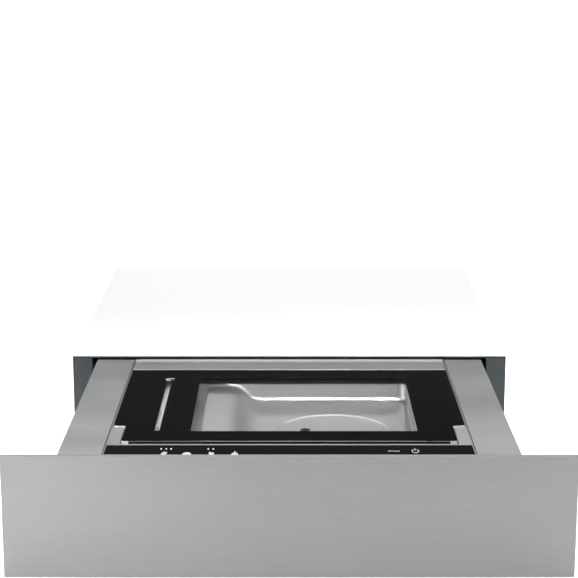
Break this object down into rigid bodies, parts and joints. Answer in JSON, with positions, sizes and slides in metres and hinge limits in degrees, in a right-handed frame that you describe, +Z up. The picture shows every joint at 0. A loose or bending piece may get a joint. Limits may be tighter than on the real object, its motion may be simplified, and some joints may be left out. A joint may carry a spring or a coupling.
{
  "type": "vacuum sealing drawer",
  "caption": "Built-in vacuum sealing drawer: flat steel front, glass lid over a shallow pressed chamber, sealing bar, touch strip, pump and housing.",
  "frame": {"origin": "middle of the front edge of the housing's underside, on the niche floor", "axes": "+X to the right as seen from the front, +Y back into the cabinet, +Z up; drawer out, lid closed"},
  "size_m": [0.595, 0.946, 0.1345],
  "materials": {
    "panel_steel": "brushed along the width",
    "cover_steel": "brushed along the depth",
    "chamber_steel": "fine satin",
    "zinc_steel": "galvanised sheet",
    "rail_steel": "bright zinc plated",
    "bright_steel": "ground",
    "white_steel": "white powder coat, satin",
    "slate_steel": "dark slate paint, satin",
    "black_glass": "black backed, polished",
    "smoked_glass": "grey tinted, polished",
    "black_print": "fired black print",
    "black_rubber": "matte",
    "grey_silicone": "matte",
    "aluminium": "satin",
    "cast_aluminium": "as cast",
    "black_plastic": "moulded",
    "grey_plastic": "moulded",
    "carbon": "carbon composite",
    "circuit_board": "green lacquer",
    "core_steel": "lacquered laminations",
    "motor_paint": "black lacquer",
    "band_steel": "nickel chrome heating band"
  },
  "bodies": {
    "housing": {"base_plate": "zinc_steel", "side_wall_left": "white_steel", "side_wall_right": "white_steel", "rear_wall": "white_steel", "top_cover": "white_steel", "front_frame": "slate_steel", "outer_rail_left": "rail_steel", "outer_rail_right": "rail_steel", "rail_brackets": "zinc_steel", "push_latch_body": "grey_plastic", "mains_inlet": "black_plastic"},
    "latch_plunger": {"push_latch_plunger": "black_plastic"},
    "middle_rails": {"middle_rail_left": "rail_steel", "middle_rail_right": "rail_steel"},
    "outer_cages": {"outer_ball_cages": "bright_steel"},
    "inner_cages": {"inner_ball_cages": "bright_steel"},
    "lid": {"lid_glass": "smoked_glass", "lid_print": "black_print", "hinge_strip": "cover_steel", "hinge_pins": "bright_steel", "counter_bar": "aluminium", "counter_seal": "grey_silicone"},
    "lifting_bar": {"sealing_bar": "aluminium", "lift_rods": "bright_steel", "heating_band": "band_steel"},
    "pump_shaft": {"motor_shaft": "core_steel", "pump_rotor": "cast_aluminium", "pump_vanes": "carbon"},
    "fan_rotor": {"cooling_fan_rotor": "black_plastic"},
    "switch_plunger": {"lid_switch_plunger": "grey_plastic"},
    "drawer": {"inner_rail_left": "rail_steel", "inner_rail_right": "rail_steel", "front_panel": "panel_steel", "panel_backing": "zinc_steel", "panel_screws": "bright_steel", "chassis_pan": "zinc_steel", "chassis_side_left": "zinc_steel", "chassis_side_right": "zinc_steel", "side_cover_left": "cover_steel", "side_cover_right": "cover_steel", "cross_rails": "zinc_steel", "deck_frame": "cover_steel", "bay_cover": "zinc_steel", "vacuum_chamber": "chamber_steel", "lid_gasket": "black_rubber", "suction_port": "bright_steel", "lift_cylinders": "cast_aluminium", "hinge_brackets": "zinc_steel", "control_glass": "black_glass", "control_tray": "black_plastic", "control_board": "circuit_board", "lid_switch": "black_plastic", "motor_housing": "motor_paint", "pump_body": "cast_aluminium", "pump_base": "zinc_steel", "valve_block": "grey_plastic", "vacuum_hoses": "grey_silicone", "transformer": "core_steel", "main_board": "circuit_board", "cooling_fan_frame": "black_plastic"}
  },
  "joints": [
    {"name": "drawer_slide", "type": "slide", "parent": "housing", "child": "drawer", "axis": [0, -1, 0], "range_m": [-0.397, 0]},
    {"name": "middle_rail_slide", "type": "slide", "parent": "housing", "child": "middle_rails", "axis": [0, -1, 0], "range_m": [-0.1985, 0]},
    {"name": "outer_cage_slide", "type": "slide", "parent": "housing", "child": "outer_cages", "axis": [0, -1, 0], "range_m": [-0.09925, 0]},
    {"name": "inner_cage_slide", "type": "slide", "parent": "housing", "child": "inner_cages", "axis": [0, -1, 0], "range_m": [-0.29775, 0]},
    {"name": "lid_hinge", "type": "hinge", "parent": "drawer", "child": "lid", "pos_m": [0, -0.028, 0.1195], "axis": [-1, 0, 0], "range_deg": [0, 65]},
    {"name": "sealing_bar_lift", "type": "slide", "parent": "drawer", "child": "lifting_bar", "axis": [0, 0, 1], "range_m": [0, 0.004]},
    {"name": "pump_spin", "type": "hinge", "parent": "drawer", "child": "pump_shaft", "pos_m": [0, -0.13, 0.054], "axis": [1, 0, 0], "continuous": true},
    {"name": "fan_spin", "type": "hinge", "parent": "drawer", "child": "fan_rotor", "pos_m": [0, 0.1, 0.07], "axis": [0, 1, 0], "continuous": true},
    {"name": "latch_press", "type": "slide", "parent": "housing", "child": "latch_plunger", "axis": [0, 1, 0], "range_m": [0, 0.004], "stiffness_N_per_m": 1500, "springref_m": -0.004},
    {"name": "lid_switch_press", "type": "slide", "parent": "drawer", "child": "switch_plunger", "axis": [0, 0, 1], "range_m": [-0.0015, 0], "stiffness_N_per_m": 400, "springref_m": 0.001}
  ],
  "couplings": [
    {"joint": "middle_rail_slide", "follows": "drawer_slide", "ratio": 0.5},
    {"joint": "outer_cage_slide", "follows": "drawer_slide", "ratio": 0.25},
    {"joint": "inner_cage_slide", "follows": "drawer_slide", "ratio": 0.75}
  ]
}
